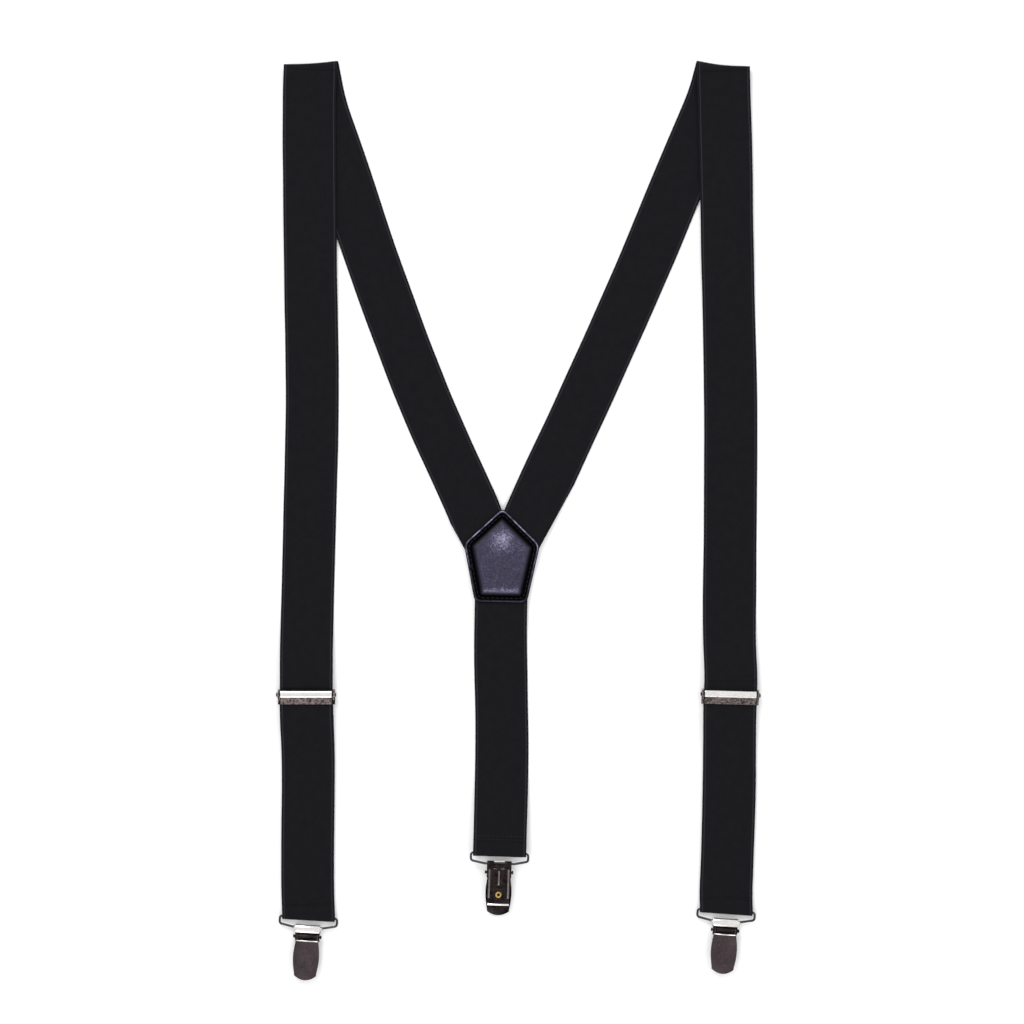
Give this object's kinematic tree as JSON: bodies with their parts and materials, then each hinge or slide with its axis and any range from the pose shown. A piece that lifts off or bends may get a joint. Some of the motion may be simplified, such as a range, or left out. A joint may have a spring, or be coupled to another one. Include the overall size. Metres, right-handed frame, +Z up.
{
  "type": "clip-on suspenders",
  "caption": "Y-back elastic suspenders laid flat: two front straps with adjusters and clips, a leather yoke, one back clip.",
  "frame": {"origin": "middle of the footprint, on the surface that the suspenders lie on", "axes": "+Y towards the shoulder folds, +Z up from the surface, +X to the right seen from above with the folds at the top"},
  "size_m": [0.3192, 0.6059, 0.0088],
  "materials": {
    "elastic": "woven elastic webbing with fine ribs",
    "leather": "smooth, semi-gloss",
    "thread": "twisted polyester thread",
    "wire": "drawn wire, dark nickel",
    "nickel": "polished nickel plate",
    "gunmetal": "satin gunmetal",
    "eyelet_brass": "polished",
    "grip_plastic": "moulded, matte"
  },
  "bodies": {
    "harness": {"yoke_backing": "leather", "yoke_patch": "leather", "yoke_stitching": "thread", "left_back_strap": "elastic", "right_back_strap": "elastic", "left_shoulder_fold": "elastic", "right_shoulder_fold": "elastic", "centre_back_strap": "elastic", "centre_strap_loop": "elastic"},
    "left_front": {"left_front_strap": "elastic"},
    "left_adjuster": {"left_adjuster_frame": "gunmetal", "left_adjuster_pin": "gunmetal", "left_lower_strap": "elastic", "left_return_strap": "elastic"},
    "left_adjuster_lever": {"left_adjuster_plate": "nickel"},
    "left_strap_end": {"left_strap_loop": "elastic"},
    "left_wire_loop": {"left_wire_loop": "wire"},
    "left_clip": {"left_clip_bracket": "nickel", "left_clip_pin": "nickel", "left_clip_back_pad": "grip_plastic", "left_clip_eyelet": "eyelet_brass"},
    "left_clip_lever": {"left_clip_cover": "gunmetal"},
    "left_clip_jaw": {"left_clip_jaw": "nickel", "left_clip_jaw_pad": "grip_plastic"},
    "right_front": {"right_front_strap": "elastic"},
    "right_adjuster": {"right_adjuster_frame": "gunmetal", "right_adjuster_pin": "gunmetal", "right_lower_strap": "elastic", "right_return_strap": "elastic"},
    "right_adjuster_lever": {"right_adjuster_plate": "nickel"},
    "right_strap_end": {"right_strap_loop": "elastic"},
    "right_wire_loop": {"right_wire_loop": "wire"},
    "right_clip": {"right_clip_bracket": "nickel", "right_clip_pin": "nickel", "right_clip_back_pad": "grip_plastic", "right_clip_eyelet": "eyelet_brass"},
    "right_clip_lever": {"right_clip_cover": "gunmetal"},
    "right_clip_jaw": {"right_clip_jaw": "nickel", "right_clip_jaw_pad": "grip_plastic"},
    "centre_wire_loop": {"centre_wire_loop": "wire"},
    "centre_clip": {"centre_clip_bracket": "nickel", "centre_clip_pin": "nickel", "centre_clip_back_pad": "grip_plastic", "centre_clip_eyelet": "eyelet_brass"},
    "centre_clip_lever": {"centre_clip_cover": "gunmetal"},
    "centre_clip_jaw": {"centre_clip_jaw": "nickel", "centre_clip_jaw_pad": "grip_plastic"}
  },
  "joints": [
    {"name": "left_shoulder", "type": "hinge", "parent": "harness", "child": "left_front", "pos_m": [-0.13653, 0.29898, 0.0025], "axis": [-0.9955, -0.0946, 0], "range_deg": [0, 180], "deforming": ["left_shoulder_fold"]},
    {"name": "left_adjuster_slide", "type": "slide", "parent": "left_front", "child": "left_adjuster", "axis": [0, 1, 0], "range_m": [-0.1, 0.2], "deforming": ["left_front_strap"]},
    {"name": "left_adjuster_open", "type": "hinge", "parent": "left_adjuster", "child": "left_adjuster_lever", "pos_m": [-0.13974, -0.11468, 0.0067], "axis": [-1, 0, 0], "range_deg": [0, 45]},
    {"name": "left_strap_length", "type": "slide", "parent": "left_adjuster", "child": "left_strap_end", "axis": [0, 1, 0], "range_m": [-0.1, 0.05], "deforming": ["left_lower_strap", "left_return_strap"]},
    {"name": "left_wire_swing", "type": "hinge", "parent": "left_strap_end", "child": "left_wire_loop", "pos_m": [-0.13832, -0.2614, 0.0026], "axis": [-0.9982, 0.06, 0], "range_deg": [-60, 60]},
    {"name": "left_clip_swing", "type": "hinge", "parent": "left_wire_loop", "child": "left_clip", "pos_m": [-0.13874, -0.26848, 0.0026], "axis": [-0.9982, 0.06, 0], "range_deg": [-30, 30]},
    {"name": "left_lever_open", "type": "hinge", "parent": "left_clip", "child": "left_clip_lever", "pos_m": [-0.13909, -0.27427, 0.0042], "axis": [-0.9982, 0.06, 0], "range_deg": [0, 90]},
    {"name": "left_jaw_open", "type": "hinge", "parent": "left_clip", "child": "left_clip_jaw", "pos_m": [-0.13909, -0.27427, 0.0042], "axis": [-0.9982, 0.06, 0], "range_deg": [0, 10.8]},
    {"name": "right_shoulder", "type": "hinge", "parent": "harness", "child": "right_front", "pos_m": [0.13474, 0.29798, 0.0025], "axis": [-0.9911, 0.1328, 0], "range_deg": [0, 180], "deforming": ["right_shoulder_fold"]},
    {"name": "right_adjuster_slide", "type": "slide", "parent": "right_front", "child": "right_adjuster", "axis": [0.03, 0.9996, 0], "range_m": [-0.1, 0.2], "deforming": ["right_front_strap"]},
    {"name": "right_adjuster_open", "type": "hinge", "parent": "right_adjuster", "child": "right_adjuster_lever", "pos_m": [0.13971, -0.11468, 0.0067], "axis": [-0.9996, 0.03, 0], "range_deg": [0, 45]},
    {"name": "right_strap_length", "type": "slide", "parent": "right_adjuster", "child": "right_strap_end", "axis": [0.03, 0.9996, 0], "range_m": [-0.1, 0.05], "deforming": ["right_lower_strap", "right_return_strap"]},
    {"name": "right_wire_swing", "type": "hinge", "parent": "right_strap_end", "child": "right_wire_loop", "pos_m": [0.13715, -0.2572, 0.0026], "axis": [-0.9976, 0.0699, 0], "range_deg": [-60, 60]},
    {"name": "right_clip_swing", "type": "hinge", "parent": "right_wire_loop", "child": "right_clip", "pos_m": [0.13666, -0.26428, 0.0026], "axis": [-0.9976, 0.0699, 0], "range_deg": [-30, 30]},
    {"name": "right_lever_open", "type": "hinge", "parent": "right_clip", "child": "right_clip_lever", "pos_m": [0.13625, -0.27007, 0.0042], "axis": [-0.9976, 0.0699, 0], "range_deg": [0, 90]},
    {"name": "right_jaw_open", "type": "hinge", "parent": "right_clip", "child": "right_clip_jaw", "pos_m": [0.13625, -0.27007, 0.0042], "axis": [-0.9976, 0.0699, 0], "range_deg": [0, 10.8]},
    {"name": "centre_wire_swing", "type": "hinge", "parent": "harness", "child": "centre_wire_loop", "pos_m": [-0.01233, -0.21899, 0.0056], "axis": [-0.9996, 0.03, 0], "range_deg": [-60, 60]},
    {"name": "centre_clip_swing", "type": "hinge", "parent": "centre_wire_loop", "child": "centre_clip", "pos_m": [-0.01254, -0.22608, 0.0056], "axis": [-0.9996, 0.03, 0], "range_deg": [-30, 30]},
    {"name": "centre_lever_open", "type": "hinge", "parent": "centre_clip", "child": "centre_clip_lever", "pos_m": [-0.01272, -0.23188, 0.004], "axis": [0.9996, -0.03, 0], "range_deg": [0, 90]},
    {"name": "centre_jaw_open", "type": "hinge", "parent": "centre_clip", "child": "centre_clip_jaw", "pos_m": [-0.01272, -0.23188, 0.004], "axis": [0.9996, -0.03, 0], "range_deg": [0, 10.8]}
  ],
  "couplings": [
    {"joint": "left_strap_length", "follows": "left_adjuster_slide", "ratio": -0.5},
    {"joint": "left_jaw_open", "follows": "left_lever_open", "ratio": 0.12},
    {"joint": "right_strap_length", "follows": "right_adjuster_slide", "ratio": -0.5},
    {"joint": "right_jaw_open", "follows": "right_lever_open", "ratio": 0.12},
    {"joint": "centre_jaw_open", "follows": "centre_lever_open", "ratio": 0.12}
  ]
}
